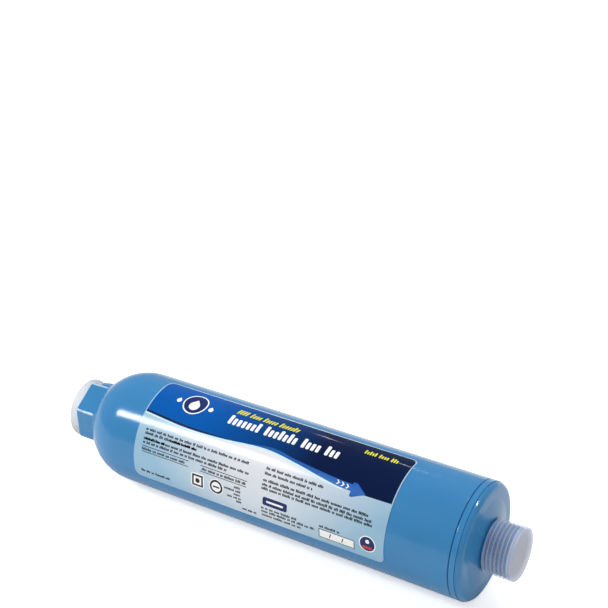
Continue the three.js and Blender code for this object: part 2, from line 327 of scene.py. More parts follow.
def painted_edge_highlights(f):
    """How strongly a painted highlight lies along the collar's six upright edges, in patches."""
    half = SIXTH / 2
    angle = f.maths("SUBTRACT", f.maths("ARCTAN2", f.axis("Z"), f.axis("Y")), HEX_FIRST_FLAT + half)
    off_edge = f.maths("ABSOLUTE", f.maths("WRAP", angle, half, -half))
    on_edge = f.ramp(off_edge, 0.7, 0, EDGE_HIGHLIGHT_HALF * 0.35, EDGE_HIGHLIGHT_HALF)
    on_collar = f.ramp(f.axis("X"), 1, 0, (HEX_END + 11.4) * MM, (HEX_END + 12.6) * MM)
    from_axis = f.node("ShaderNodeCombineXYZ", Y=f.axis("Y"), Z=f.axis("Z")).outputs[0]
    from_axis = f.node("ShaderNodeVectorMath", {"operation": "LENGTH"}, Vector=from_axis).outputs["Value"]
    outside = f.ramp(from_axis, 0, 1, (HEX_FLAT_R + 1.2) * MM, (HEX_FLAT_R + 1.7) * MM)
    patchy = f.ramp(f.noise(160, 3), 0.45, 1, 0.4, 0.55)
    # the painted highlight's strength: on an edge, on the collar, out near its corners and in patches
    highlighted = f.maths("MULTIPLY", on_edge, on_collar)
    return f.maths("MULTIPLY", highlighted, f.maths("MULTIPLY", outside, patchy))


def moulded_plastic(name, colour, roughness, edge_highlight=None):
    """Injection-moulded plastic: faint flow marks, convex edges lightened as handling wear and painted
    highlight, optionally a painted highlight along given edges, and a fine skin.
    """
    f = Finish(name)
    clouds = f.noise(38, 3)
    flow = f.noise(90, 2, (0.12, 1, 1))
    tone = f.mix(clouds, shade(colour, 0.93), shade(colour, 1.06))
    tone = f.mix(f.ramp(flow, 0, 0.25, 0.45, 0.75), tone, shade(colour, 1.12))
    # convex edges are made lighter: partly handling wear, partly a painted highlight
    edge_wear_and_highlight = f.ramp(f.node("ShaderNodeNewGeometry").outputs["Pointiness"], 0, 0.35, 0.52, 0.62)
    tone = f.mix(edge_wear_and_highlight, tone, shade(colour, 1.35))
    if edge_highlight:
        # a pale painted highlight along the edges that the given function picks out
        tone = f.mix(edge_highlight(f), tone, EDGE_HIGHLIGHT_PALE)
    f.surface(
        Base_Color=tone,
        Roughness=f.ramp(f.noise(220, 4), roughness * 0.8, roughness * 1.3),
        Normal=f.bump(f.noise(260, 2), MOULD_SKIN),
    )
    return f.material


def printed(name, first, second=None, start=0.0, end=0.0, roughness=0.15, shine=FILM_SHINE):
    """Ink under a clear film. With a second colour it fades to that between two stations in metres."""
    f = Finish(name)
    faded = f.ramp(f.axis("X"), 0, 1, start, end) if second else 0.0
    second = second or first
    lighter = f.mix(faded, shade(first, 1.08), shade(second, 1.08))
    darker = f.mix(faded, shade(first, 0.94), shade(second, 0.94))
    f.surface(
        Base_Color=f.mix(f.noise(260, 4), darker, lighter),
        Roughness=f.ramp(f.noise(150, 3), roughness * 0.85, roughness * 1.25),
        Specular_IOR_Level=shine,
        Normal=f.bump(f.noise(500, 2), FILM_SKIN),
    )
    return f.material


def paper():
    """The label's pale ground: white in the middle, bluer low down and towards both ends."""
    f = Finish("label_ground")
    down = f.ramp(f.axis("Z"), 0.5, 0, -0.012, 0.024)
    along = f.ramp(f.maths("ABSOLUTE", f.axis("X")), 0, 0.85, 0.012, 0.075)
    amount = f.maths("ADD", down, along, clamp=True)
    f.surface(
        Base_Color=f.mix(amount, PAPER_WHITE, PAPER_BLUE),
        Roughness=f.ramp(f.noise(160, 3), 0.13, 0.19),
        Specular_IOR_Level=FILM_SHINE,
        Normal=f.bump(f.noise(500, 2), FILM_SKIN),
    )
    return f.material


def frosted_plastic(name, white, rim_shade, thick_from, thick_to, thin, thick, edge_on, thread=None):
    """Milky plastic that shows what is under it, denser seen edge on and where the wall is thick.
    The wall thickens between two stations in millimetres, and thin and thick are its densities.
    Over a thread, given by the stations of its start and end, it is milky between the crests."""
    f = Finish(name)
    clouds = f.noise(120, 3)
    edge = f.node("ShaderNodeLayerWeight", Blend=0.35).outputs["Facing"]
    # seen edge on, the colour darkens towards the white shaded by the given factor: a painted shade along the
    # outline
    rim = f.maths("POWER", edge, 1.3)
    f.surface(
        Base_Color=f.mix(rim, f.mix(clouds, shade(white, 0.92), white), shade(white, rim_shade)),
        Roughness=f.ramp(f.noise(600, 3), 0.26, 0.36),
        Normal=f.bump(f.noise(300, 2), FROST_SKIN),
    )
    clear = f.node("ShaderNodeBsdfTransparent", Color=(0.93, 0.96, 1.0, 1))
    wall = f.ramp(f.axis("X"), thin, thick, thick_from * MM, thick_to * MM)
    if thread:
        start, end = thread
        turn = f.maths("DIVIDE", f.maths("SUBTRACT", f.axis("X"), start * MM), HOSE_PITCH * MM)
        angle = f.maths("ARCTAN2", f.axis("Z"), f.axis("Y"))
        phase = f.maths("MULTIPLY_ADD", turn, math.tau, f.maths("MULTIPLY", angle, -1.0))
        wave = f.maths("COSINE", phase)
        over_thread = f.ramp(f.axis("X"), 0.24, 0, (end - 0.5) * MM, end * MM)
        wall = f.maths("MULTIPLY_ADD", f.ramp(wave, 0, 1, 0.1, 1.0), over_thread, wall)
    density = f.maths("MULTIPLY_ADD", edge, edge_on, wall, clamp=True)
    both = f.node("ShaderNodeMixShader", Fac=density)
    f.set(both.inputs[1], clear.outputs[0])
    f.set(both.inputs[2], f.shader.outputs[0])
    f.set(f.output.inputs["Surface"], both.outputs[0])
    return f.material


def rubber():
    f = Finish("washer_rubber")
    f.surface(
        Base_Color=f.mix(f.noise(400, 4), srgb(22, 22, 24), srgb(44, 44, 46)),
        Roughness=f.ramp(f.noise(900, 3), 0.6, 0.85),
        Normal=f.bump(f.noise(2500, 4), 0.00003),
    )
    return f.material


def granules(name, dark, light, size, metal):
    """Loose grains of about one size, each a little different from the next."""
    f = Finish(name)
    cells = f.node("ShaderNodeTexVoronoi", Vector=f.place, Scale=1 / (size * MM))
    f.surface(
        Base_Color=f.mix(cells.outputs["Color"], dark, light),
        Metallic=metal,
        Roughness=f.ramp(cells.outputs["Distance"], 0.35, 0.8),
        Normal=f.bump(f.ramp(cells.outputs["Distance"], 1, 0), 0.0004),
    )
    return f.material


def felt():
    f = Finish("needled_felt")
    fibres = f.noise(900, 6, (1, 0.25, 0.25))
    f.surface(
        Base_Color=f.mix(fibres, srgb(206, 202, 190), srgb(247, 245, 238)),
        Roughness=f.ramp(f.noise(1400, 4), 0.82, 1.0),
        Sheen_Weight=0.35,
        Normal=f.bump(fibres, 0.0003),
    )
    return f.material


# ---------------------------------------------------------------- canister
def collar_radius(angle):
    """Distance from the axis to the hexagonal collar, with its upright edges rounded."""
    turn = (angle - HEX_FIRST_FLAT + SIXTH / 2) % SIXTH - SIXTH / 2
    inner = HEX_FLAT_R - HEX_EDGE_R
    tangent = math.atan(inner * math.tan(SIXTH / 2) / HEX_FLAT_R)
    if abs(turn) <= tangent:
        return HEX_FLAT_R / math.cos(turn)
    from_corner = SIXTH / 2 - abs(turn)
    centre = inner / math.cos(SIXTH / 2)
    off_line = centre * math.sin(from_corner)
    return centre * math.cos(from_corner) + math.sqrt(HEX_EDGE_R**2 - off_line**2)


def collar_at(x, angle):
    """The collar's radius near its end face, where the corners are taken off and the edge is round."""
    corner_r = HEX_FLAT_R / math.cos(SIXTH / 2)
    edge = 0.55
    along = x - HEX_END
    limit = corner_r - 1.2 + 1.5 * along
    inset = edge - math.sqrt(max(0.0, edge**2 - max(0.0, edge - along) ** 2))
    return min(collar_radius(angle), limit) - inset


def dome_radius(x, radius=BODY_R):
    along = min(0.0, x - DOME_CENTRE)
    return math.sqrt(max(0.0, radius**2 - along**2))


def shell_radius(x, angle):
    """The greater of collar and dome, with a fillet where they meet."""
    collar, dome = collar_at(x, angle), dome_radius(x)
    near = max(0.0, FILLET - abs(collar - dome)) / FILLET
    return max(collar, dome) + near * near * FILLET / 4


def canister_rows():
    def outside(x):
        return lambda angle: shell_radius(x, angle)

    edge_rows = [HEX_END + d for d in (0, 0.04, 0.12, 0.25, 0.4, 0.55)]
    collar_rows = stations(HEX_END + 0.8, DOME_CENTRE - 30, 0.5)
    fillet_rows = stations(DOME_CENTRE - 29.8, DOME_CENTRE - 21, 0.2)
    dome_rows = [
        DOME_CENTRE - BODY_R * math.cos(math.radians(a)) for a in range(50, 90, 2)
    ]
    rows = [(x, outside(x)) for x in edge_rows + collar_rows + fillet_rows + dome_rows]
    rows += [(x, BODY_R) for x in stations(DOME_CENTRE, BODY_END - 0.6, 12)]
    rows += [
        (BODY_END - 0.35, BODY_R), (BODY_END - 0.2, BODY_R - 0.1),
        (BODY_END, BODY_R - 0.4), (BODY_END, BORE_R),
    ]
    rows += [(x, BORE_R) for x in stations(BODY_END - 1, DOME_CENTRE, 20)]

    shelf_inner = WASHER_SEAT + SHELF_T
    start_angle = math.degrees(math.acos((DOME_CENTRE - shelf_inner) / BORE_R))
    for step in range(1, 13):
        a = math.radians(lerp(90, start_angle, step / 12))
        rows.append((DOME_CENTRE - BORE_R * math.cos(a), BORE_R * math.sin(a)))
    rows += [(shelf_inner, FLOW_R), (WASHER_SEAT, FLOW_R), (WASHER_SEAT, FEMALE_ROOT_R)]
    rows += thread_rows(WASHER_SEAT - 4.6, HEX_END + 2, FEMALE_ROOT_R, FEMALE_CREST_R)
    rows += [(HEX_END + 1.6, FEMALE_ROOT_R), (HEX_END + 0.3, MOUTH_R - 0.25), (HEX_END, MOUTH_R)]
    return rows


def make_canister(blue):
    """The shell, with angles set closer together at the collar's rounded edges."""
    edges = [HEX_FIRST_FLAT + SIXTH * (k + 0.5) for k in range(6)]
    near, fine = math.radians(3.4), 20
    angles = [a for a in ROUND if all(abs(a - edge) > near for edge in edges)]
    angles += [edge + near * (2 * i / fine - 1) for edge in edges for i in range(fine + 1)]
    mesh = turned("canister_shell", canister_rows(), sorted(angles))
    add_piece("canister_shell", mesh, "filter", ["canister_body"], "shell_blue", blue)


def make_collar_pad(blue):
    """The round moulded pad on the collar's upper flat, with a plain diagonal hatch."""
    height, edge, sunk = 0.42, 0.25, 0.5
    hatch_pitch, hatch_height = 1.5, 0.14
    rings, count = 26, 120
    flat_angle = HEX_FIRST_FLAT + SIXTH

    def top(distance, angle):
        across = distance * math.cos(angle + math.radians(45))
        hatch = 0.5 + 0.5 * math.cos(math.tau * across / hatch_pitch)
        inside = smooth_step((PAD_R - 0.7 - distance) / 0.5)
        return height + hatch_height * hatch * inside

    bm = bmesh.new()
    # Each ring has a distance from the middle and a level, or no level where the hatched top gives it.
    levels = [(PAD_R * i / rings, None) for i in range(1, rings) if PAD_R * i / rings < PAD_R - edge]
    levels += [(PAD_R - edge + edge * math.sin(a), height - edge + edge * math.cos(a))
               for a in (0.0, 0.4, 0.8, 1.2, math.pi / 2)]
    levels.append((PAD_R, -sunk))
    centre = bm.verts.new((0, 0, top(0, 0)))
    loops = []
    for distance, level in levels:
        loop = []
        for k in range(count):
            a = math.tau * k / count
            z = top(distance, a) if level is None else level
            loop.append(bm.verts.new((distance * math.cos(a), distance * math.sin(a), z)))
        loops.append(loop)
    for k in range(count):
        bm.faces.new((centre, loops[0][k], loops[0][(k + 1) % count]))
        for a, b in zip(loops, loops[1:]):
            bm.faces.new((a[k], b[k], b[(k + 1) % count], a[(k + 1) % count]))
    bm.faces.new(loops[-1])
    out = Vector((0, math.cos(flat_angle), math.sin(flat_angle)))
    side = Vector((1, 0, 0))
    turn = Matrix((side, out.cross(side), out)).transposed().to_4x4()
    middle = Vector((HEX_END + PAD_FROM_END, 0, 0)) + out * HEX_FLAT_R
    bmesh.ops.transform(bm, matrix=Matrix.Translation(middle) @ turn, verts=bm.verts)
    add_piece("collar_pad", to_mesh("collar_pad", bm), "filter", [], "shell_blue", blue)


# ---------------------------------------------------------------- outlet end cap
def end_cap_rows():
    flange = BODY_END + 0.3
    spigot = END_CAP_LOW.x
    spigot_r = BORE_R - 0.3
    face = flange + 6.3
    thread_start, thread_end = THREAD_CAP_LOW.x + 1.4, END_CAP_HIGH.x - 1.3
    outside = rounded([
        (spigot, spigot_r - WALL),
        (spigot, spigot_r, 0.6),
        (flange, spigot_r),
        (flange, BODY_R - 0.4),
        (flange + 0.2, BODY_R - 0.1),
        (flange + 0.35, BODY_R),
        (flange + 0.6, BODY_R),
        (flange + 3.2, BODY_R),
        (flange + 3.3, BODY_R - 0.5),
        (flange + 3.6, BODY_R - 0.5),
        (flange + 3.75, BODY_R - 0.2),
        (flange + 4.0, BODY_R - 0.3),
        (face, BODY_R - 0.3, 3.0),
        (face + 0.4, 23.4, 1.5),
        (face + 2.2, 14.8, 0.3),
        (face + 2.3, GAP_R, 0.2),
        (THREAD_CAP_LOW.x + 0.1, GAP_R, 0.2),
        (THREAD_CAP_LOW.x + 0.1, MALE_CREST_R, 0.1),
        (THREAD_CAP_LOW.x + 0.6, MALE_CREST_R, 0.3),
        (thread_start, MALE_ROOT_R),
    ], 9)
    nipple = rounded([
        (thread_end, MALE_ROOT_R),
        (END_CAP_HIGH.x, MALE_ROOT_R - 0.6, 0.5),
        (END_CAP_HIGH.x, FLOW_R, 0.3),
        (face - 1.6, FLOW_R, 0.8),
        (face - 3.2, spigot_r - WALL, 1),
        (spigot + 0.5, spigot_r - WALL),
    ])
    thread = thread_rows(thread_start + 0.2, thread_end - 0.1, MALE_ROOT_R, MALE_CREST_R)
    return outside + thread + nipple


def make_end_cap(blue):
    mesh = turned("outlet_cap_shell", end_cap_rows(), ROUND)
    add_piece("outlet_cap_shell", mesh, "filter", ["outlet_end_cap"], "shell_blue", blue)


# ---------------------------------------------------------------- protective caps
def make_plug(frosted):
    rim, bottom = PLUG_LOW.x, PLUG_HIGH.x
    rim_r = PLUG_HIGH.z
    wall, barrel = 1.1, 12.2
    inner = barrel - wall
    profile = rounded([
        (bottom - wall, 0),
        (bottom - wall, inner - 0.1, 0.9),
        (HEX_END - 1.8, inner + 0.2, 1.2),
        (rim + 0.1, rim_r - 1.1, 0.5),
        (rim, rim_r - 0.2, 0.25),
        (rim + 0.9, rim_r, 0.4),
        (HEX_END - 0.8, barrel + 0.8, 0.8),
        (HEX_END + 1.6, barrel, 1.5),
        (bottom, barrel - 0.3, 0.9),
        (bottom, 0),
    ], 7)
    mesh = turned("plug_shell", profile, SMALL_ROUND)
    add_piece("plug_shell", mesh, "plug", ["inlet_plug"], "cap_frosted", frosted)


def make_thread_cap(frosted):
    """A thin sleeve that is stretched over the thread, so that each turn stands out a little."""
    base, end, radius = THREAD_CAP_LOW.x, THREAD_CAP_HIGH.x, THREAD_CAP_HIGH.z
    inner, lip = radius - CAP_WALL, radius + 0.25
    floor = END_CAP_HIGH.x + 0.4
    thread_start, thread_end = base + 1.6, END_CAP_HIGH.x - 1.4
    sleeve = rounded([
        (floor, 0),
        (floor, inner, 0.7),
        (base, inner, 0.15),
        (base, lip, 0.3),
        (base + 1.0, lip, 0.3),
        (base + 1.3, radius, 0.2),
        (base + 1.5, radius),
    ], 7)
    top = rounded([(thread_end + 0.1, radius), (end, radius, 1.1), (end, 0)], 7)
    ridges = thread_rows(thread_start, thread_end, radius, radius + CAP_RELIEF)
    mesh = turned("thread_cap_shell", sleeve + ridges + top, SMALL_ROUND)
    add_piece("thread_cap_shell", mesh, "cap", ["outlet_thread_cap"], "cap_frosted", frosted)


# ---------------------------------------------------------------- inlet washer and screen
def make_washer(material):
    inner, outer = FLOW_R - 0.5, WASHER_HIGH.z
    x0, x1 = WASHER_LOW.x, WASHER_HIGH.x
    middle, edge = (x0 + x1) / 2, 0.45
    profile = rounded([
        (middle, inner), (x0, inner, edge), (x0, outer, edge),
        (x1, outer, edge), (x1, inner, edge), (middle + 0.1, inner),
    ])
    mesh = turned("hose_washer_ring", profile, SMALL_ROUND)
    add_piece("hose_washer_ring", mesh, "filter", ["hose_washer"], "washer_rubber", material)


def add_wire(bm, places, radius, sides):
    """Adds a closed wire through places, whose section lies across its general direction."""
    along = (places[-1] - places[0]).normalized()
    out = Vector((1, 0, 0))
    side = along.cross(out)
    loops = []
    for place in places:
        spokes = [out * math.cos(a) + side * math.sin(a) for a in around(sides)]
        loops.append([bm.verts.new(place + spoke * radius) for spoke in spokes])
    for a, b in zip(loops, loops[1:]):
        for k in range(sides):
            bm.faces.new((a[k], a[(k + 1) % sides], b[(k + 1) % sides], b[k]))
    bm.faces.new(loops[0])
    bm.faces.new(loops[-1])


def add_weave(bm, x_at, radius, pitch, wire_r, sides):
    """Adds plain-woven wires across the axis. x_at gives their place along the axis from the
    distance off it."""
    count = int(radius / pitch)
    for flip in (1, -1):
        for i in range(-count, count + 1):
            u = i * pitch
            reach = math.sqrt(radius**2 - u**2)
            places = []
            for t in stations(-reach, reach, pitch / 4):
                lift = wire_r * math.cos(math.pi * (t / pitch + i)) * flip
                x = x_at(math.hypot(u, t)) + lift
                places.append(Vector((x, u, t)) if flip == 1 else Vector((x, t, u)))
            add_wire(bm, places, wire_r, sides)


def make_inlet_screen():
    """The shallow cup of steel mesh that is clamped by its rim under the washer."""
    x0, x1, outer, edge = SCREEN_LOW.x, SCREEN_LOW.x + SCREEN_T, SCREEN_HIGH.z, 0.15
    deep = SCREEN_HIGH.x - SCREEN_T / 2
    cup, mouth = FLOW_R - 2.4, FLOW_R - 0.9
    inner = mouth - 0.2

    def x_at(distance):
        return lerp(deep, x0 + SCREEN_T / 2, smooth_step((distance - cup) / (mouth - cup)))

    rim = rounded([
        (x0 + 0.2, inner), (x0, inner, edge), (x0, outer, edge),
        (x1, outer, edge), (x1, inner, edge), (x0 + 0.21, inner),
    ])
    f = Finish("screen_steel_wire")
    f.surface(
        Base_Color=f.mix(f.noise(900, 3), srgb(150, 152, 156), srgb(205, 207, 210)),
        Metallic=1.0,
        Roughness=f.ramp(f.noise(700, 3), 0.22, 0.4),
        Normal=f.bump(f.noise(1500, 3), 0.000005),
    )
    bm = bmesh.new()
    add_weave(bm, x_at, mouth, pitch=0.9, wire_r=0.16, sides=6)
    add_turned(bm, rim, SMALL_ROUND)
    mesh = to_mesh("inlet_screen_cup", bm)
    add_piece("inlet_screen_cup", mesh, "filter", ["inlet_screen"], "screen_steel", f.material)


# ---------------------------------------------------------------- media, pads and outlet screen
def dense_layer(name, node, step, segments):
    """A layer of the fill that follows the inside of the wall, with vertices close enough to shape."""
    low, high = extent(node)
    start_r, end_r = dome_radius(low.x, FILL_R), dome_radius(high.x, FILL_R)
    edge = 0.35  # kept off the corners, which this rounds
    rows = [(low.x, 0)] + [(low.x, r) for r in stations(step, start_r - edge, step)]
    rows += [(x, dome_radius(x, FILL_R)) for x in stations(low.x + edge, high.x - edge, step)]
    rows += [(high.x, r) for r in stations(end_r - edge, step, step)] + [(high.x, 0)]
    return turned(name, rows, around(segments))


def roughen(mesh, size, depth, grains):
    """Presses the surface in by up to depth millimetres: between grains, or softly as felt does."""
    normals = [vert.normal.copy() for vert in mesh.vertices]
    for vert, normal in zip(mesh.vertices, normals):
        place = vert.co / (size * MM)
        if grains:
            amount = min(1.0, noise.voronoi(place)[0][0])
        else:
            amount = 0.5 + 0.5 * noise.noise(place)
        vert.co -= normal * (amount * depth * MM)


def make_fill():
    needled = felt()
    pads = (("inlet_felt", "inlet_pad"), ("separator_felt", "separator_pad"), ("outlet_felt", "outlet_pad"))
    for name, node in pads:
        mesh = dense_layer(name, node, 0.9, 160)
        roughen(mesh, 2.4, 0.22, False)
        add_piece(name, mesh, "filter", [node], "felt_white", needled, sharp=80)
    copper_zinc = granules("copper_zinc_grains", srgb(120, 82, 30), srgb(214, 172, 88), 0.9, 0.8)
    mesh = dense_layer("copper_zinc_grain_bed", "copper_zinc_bed", 0.7, 220)
    roughen(mesh, 1.7, 0.45, True)
    add_piece("copper_zinc_grain_bed", mesh, "filter", ["copper_zinc_bed"],
              "copper_zinc_granules", copper_zinc, sharp=80)
    carbon = granules("carbon_grains", srgb(8, 8, 9), srgb(46, 46, 48), 1.3, 0.0)
    mesh = dense_layer("carbon_grain_bed", "carbon_bed", 1.0, 180)
    roughen(mesh, 2.6, 0.6, True)
    add_piece("carbon_grain_bed", mesh, "filter", ["carbon_bed"], "carbon_granules", carbon, sharp=80)


def make_outlet_screen():
    low, high = extent("outlet_screen")
    x0, x1 = low.x, high.x
    middle = (x0 + x1) / 2
    inner, outer = FILL_R - 0.9, FILL_R
    rim = rounded([
        (middle, inner), (x0, inner, 0.1), (x0, outer, 0.15), (x1, outer, 0.15), (x1, inner, 0.1),
        (middle + 0.01, inner),
    ])
    f = Finish("mesh_white_strand")
    f.surface(
        Base_Color=f.mix(f.noise(600, 3), srgb(214, 219, 224), srgb(240, 243, 246)),
        Roughness=f.ramp(f.noise(900, 3), 0.45, 0.65),
        Normal=f.bump(f.noise(1200, 3), 0.00001),
    )
    bm = bmesh.new()
    add_weave(bm, lambda distance: middle, FILL_R - 0.5, pitch=1.8, wire_r=0.1, sides=4)
    add_turned(bm, rim, SMALL_ROUND)
    mesh = to_mesh("outlet_screen_mesh", bm)
    add_piece("outlet_screen_mesh", mesh, "filter", ["outlet_screen"], "mesh_white", f.material)


# ---------------------------------------------------------------- label artwork
# Places on the label are (x, v): x along the filter's axis, v round the wall from the top edge.
class Ink:
    """Flat shapes of one colour, which become thin closed films wrapped on the canister."""

    def __init__(self, name, layer, material):
        self.name, self.layer, self.material = name, layer, material
        self.bm = bmesh.new()

    def shape(self, points):
        self.bm.faces.new([self.bm.verts.new((x, v, 0)) for x, v in points])

    def strip(self, upper, lower):
        """The area between two lines that have the same number of points."""
        tops = [self.bm.verts.new((x, v, 0)) for x, v in upper]
        bottoms = [self.bm.verts.new((x, v, 0)) for x, v in lower]
        for i in range(len(tops) - 1):
            self.bm.faces.new((tops[i], tops[i + 1], bottoms[i + 1], bottoms[i]))

    def box(self, x, v, width, height, corner=0.0, slant=0.0):
        """A rectangle from its top left place, with rounded corners and its top leaning right."""
        if not corner:
            self.shape([(x + slant, v), (x + width + slant, v), (x + width, v + height), (x, v + height)])
            return
        points = []
        for turn, cx, cv in ((180, x, v), (270, x + width, v),
                             (0, x + width, v + height), (90, x, v + height)):
            mx = cx + corner * (1 if cx == x else -1)
            mv = cv + corner * (1 if cv == v else -1)
            for step in range(5):
                a = math.radians(turn + 22.5 * step)
                px, pv = mx + corner * math.cos(a), mv + corner * math.sin(a)
                points.append((px + slant * (v + height - pv) / height, pv))
        self.shape(points)

    def ring(self, x, v, radius, width, count=48):
        """A ring, or a disc when the width is the radius."""
        def circle(r):
            return [(x + r * math.cos(math.tau * k / count), v + r * math.sin(math.tau * k / count))
                    for k in range(count)]
        if width >= radius:
            self.shape(circle(radius))
            return
        outer = [self.bm.verts.new((*p, 0)) for p in circle(radius)]
        inner = [self.bm.verts.new((*p, 0)) for p in circle(radius - width)]
        for k in range(count):
            n = (k + 1) % count
            self.bm.faces.new((outer[k], outer[n], inner[n], inner[k]))

    def frame(self, x, v, width, height, line):
        """A rectangular outline."""
        corners = [(x, v), (x + width, v), (x + width, v + height), (x, v + height)]
        inset = [(x + line, v + line), (x + width - line, v + line),
                 (x + width - line, v + height - line), (x + line, v + height - line)]
        outer = [self.bm.verts.new((*p, 0)) for p in corners]
        inner = [self.bm.verts.new((*p, 0)) for p in inset]
        for k in range(4):
            n = (k + 1) % 4
            self.bm.faces.new((outer[k], outer[n], inner[n], inner[k]))

    def finish(self, bottom=INK_BOTTOM, top=None):
        """Slices the shapes to follow the wall, thickens them and wraps them round it."""
        bm = self.bm
        for slice_v in range(1, math.ceil(LABEL_HEIGHT)):
            everything = bm.verts[:] + bm.edges[:] + bm.faces[:]
            bmesh.ops.bisect_plane(bm, geom=everything, dist=1e-5,
                                   plane_co=(0, slice_v, 0), plane_no=(0, 1, 0))
        top = top or SHEET_TOP + INK_STEP * (self.layer + 1)
        flat = bm.faces[:]
        raised = bmesh.ops.extrude_face_region(bm, geom=flat, use_keep_orig=True)
        lifted = {v for v in raised["geom"] if isinstance(v, bmesh.types.BMVert)}
        for vert in bm.verts:
            x = LABEL_CENTRE + vert.co.x * ART_SCALE
            r = BODY_R + (top if vert in lifted else bottom)
            angle = lerp(LABEL_FROM, LABEL_TO, vert.co.y / LABEL_HEIGHT)
            vert.co = (x, r * math.cos(angle), r * math.sin(angle))
        return add_piece(self.name, to_mesh(self.name, bm), "filter", [], "label_print", self.material)


def through(knots):
    """A smooth line through a few (x, v) places, as a function of x."""
    def at(x):
        x = min(max(x, knots[0][0]), knots[-1][0])
        i = max(k for k in range(len(knots) - 1) if knots[k][0] <= x)
        (x0, v0), (x1, v1) = knots[i], knots[i + 1]
        before = knots[max(0, i - 1)]
        after = knots[min(len(knots) - 1, i + 2)]
        span = x1 - x0
        slope0 = (v1 - before[1]) / (x1 - before[0])
        slope1 = (after[1] - v0) / (after[0] - x0)
        t = (x - x0) / span
        return (v0 * (2 * t**3 - 3 * t**2 + 1) + v1 * (3 * t**2 - 2 * t**3)
                + span * (slope0 * (t**3 - 2 * t**2 + t) + slope1 * (t**3 - t**2)))
    return at


BAND_EDGE = through([
    (-82, 27.5), (-53, 29.5), (-30, 28.9), (0, 26.4), (20, 28.5), (47, 32.9), (60, 33.4), (82, 33.1),
])
INSET = 0.7  # pale rim left round the dark band


def label_top(x):
    """How far the band's upper edge is below the label's top edge, round the corners."""
    into = max(0.0, abs(x) - (LABEL_HALF - LABEL_CORNER))
    radius = LABEL_CORNER - INSET
    return INSET + radius - math.sqrt(max(0.0, radius**2 - min(into, radius) ** 2))


def placeholder_line(ink, rng, x, v, end, bold=False, tall=1.55):
    """A line of small print as plain strokes in word-like groups, with nothing to read."""
    stroke, gap = (0.78, 0.16) if bold else (0.6, 0.24)
    while x < end - stroke:
        for _ in range(rng.randint(2, 8)):
            if x > end - stroke:
                break
            height = tall if rng.random() < 0.3 else tall * 0.74
            ink.box(x, v + tall / 2 - height, stroke, height)
            x += stroke + gap
        x += 0.85


def placeholder_title(ink, rng, x, v, end, height, slant=0.0):
    """Bold rounded strokes of two heights in word-like groups, which stand where a title would be."""
    stroke, gap = height * 0.3, height * 0.15
    while x < end - stroke:
        for k in range(rng.randint(4, 7)):
            if x > end - stroke:
                break
            tall = height if k == 0 or rng.random() < 0.25 else height * 0.72
            ink.box(x, v + height - tall, stroke, tall, corner=stroke * 0.35, slant=slant)
            x += stroke + gap
        x += height * 0.4


def drop_outline(x, v, size, steps=20):
    """A plain water drop, point up."""
    points = [(x, v - size * 1.5)]
    for k in range(steps + 1):
        a = math.radians(lerp(-35, 215, k / steps))
        points.append((x + size * math.cos(a), v + size * math.sin(a)))
    return points


def draw_band(band, line, halo, swoosh):
    """The dark band with its wavy lower edge, a line and a halo along that edge, and the flow arrow."""
    left = -LABEL_HALF + INSET
    xs = stations(left, -left, 1.0)
    band.strip([(x, label_top(x)) for x in xs], [(x, BAND_EDGE(x)) for x in xs])
    xs = stations(left, -20, 1.0)
    thin = [lerp(1.2, 0.3, smooth_step((x + 50) / 30)) for x in xs]
    line.strip([(x, BAND_EDGE(x) - 0.2 - t) for x, t in zip(xs, thin)], [(x, BAND_EDGE(x) - 0.2) for x in xs])
    xs = stations(left, 52, 1.0)
    halo.strip([(x, BAND_EDGE(x)) for x in xs], [(x, BAND_EDGE(x) + 0.9) for x in xs])

    thickness = through([(-10, 0.3), (7, 2.0), (20, 1.7), (47, 3.6), (60, 3.8)])
    xs = stations(-10, 57, 1.0)
    swoosh.strip([(x, BAND_EDGE(x) - thickness(x)) for x in xs], [(x, BAND_EDGE(x)) for x in xs])
    swoosh.shape([(57.0, 28.4), (59.4, 28.4), (66.0, 33.0), (58.4, 36.3), (57.0, 36.3)])


def draw_chevron(ink, x, v):
    """One of the small marks that point along the flow."""
    half, stroke = 1.2, 0.9
    ink.shape([
        (x, v - half), (x + stroke, v - half), (x + stroke + half, v),
        (x + stroke, v + half), (x, v + half), (x + half, v),
    ])


def draw_badge(white, navy):
    """A round badge with a drop, and a small drop on each side of it."""
    x, v = -55.3, 13.1
    navy.ring(x, v, 7.4, 7.4)
    white.ring(x, v, 7.8, 0.75)
    white.shape(drop_outline(x, v + 1.6, 3.3))
    for side in (-1, 1):
        white.shape(drop_outline(x + side * 11.0, v + 0.9, 1.5))


def draw_small_print(black, rng):
    """Blocks of small print, each line as (x, v, end, bold), and the rules between them."""
    lines = [
        (-76.6, 37.0, -5.7, False), (-76.6, 39.3, -39.7, False), (-76.6, 42.4, -4, False),
        (-76.6, 44.7, -18.7, False), (-76.6, 48.6, -46.5, False), (-34.5, 48.6, -5, False),
        (-77.2, 63.0, -55.7, True), (-7, 65.0, 3, True), (5.3, 36.1, 41.3, False), (5.3, 39.0, 36, False),
        (5.3, 42.7, 72, False), (5.3, 45.2, 74, False), (5.3, 47.3, 75.7, False), (6, 59.1, 28.7, False),
        (6, 61.3, 40, False), (6, 63.9, 31.7, False), (43, 57.6, 55.7, False),
    ]
    for x, v, end, bold in lines:
        placeholder_line(black, rng, x, v, end, bold)
    placeholder_line(black, rng, -59, 39.3, -39.7, True)
    placeholder_line(black, rng, -76.6, 42.4, -61, True)
    for v, length in ((52.5, 5.3), (54.7, 11.7), (56.8, 5.3), (59.1, 9.7), (61.3, 3.7)):
        placeholder_line(black, rng, -7 - length, v, -7, False, 1.35)
    for v in (46.8, 50.1):
        black.box(-76.6, v, 32.7, 0.35)
        black.box(-35.7, v, 31.4, 0.35)


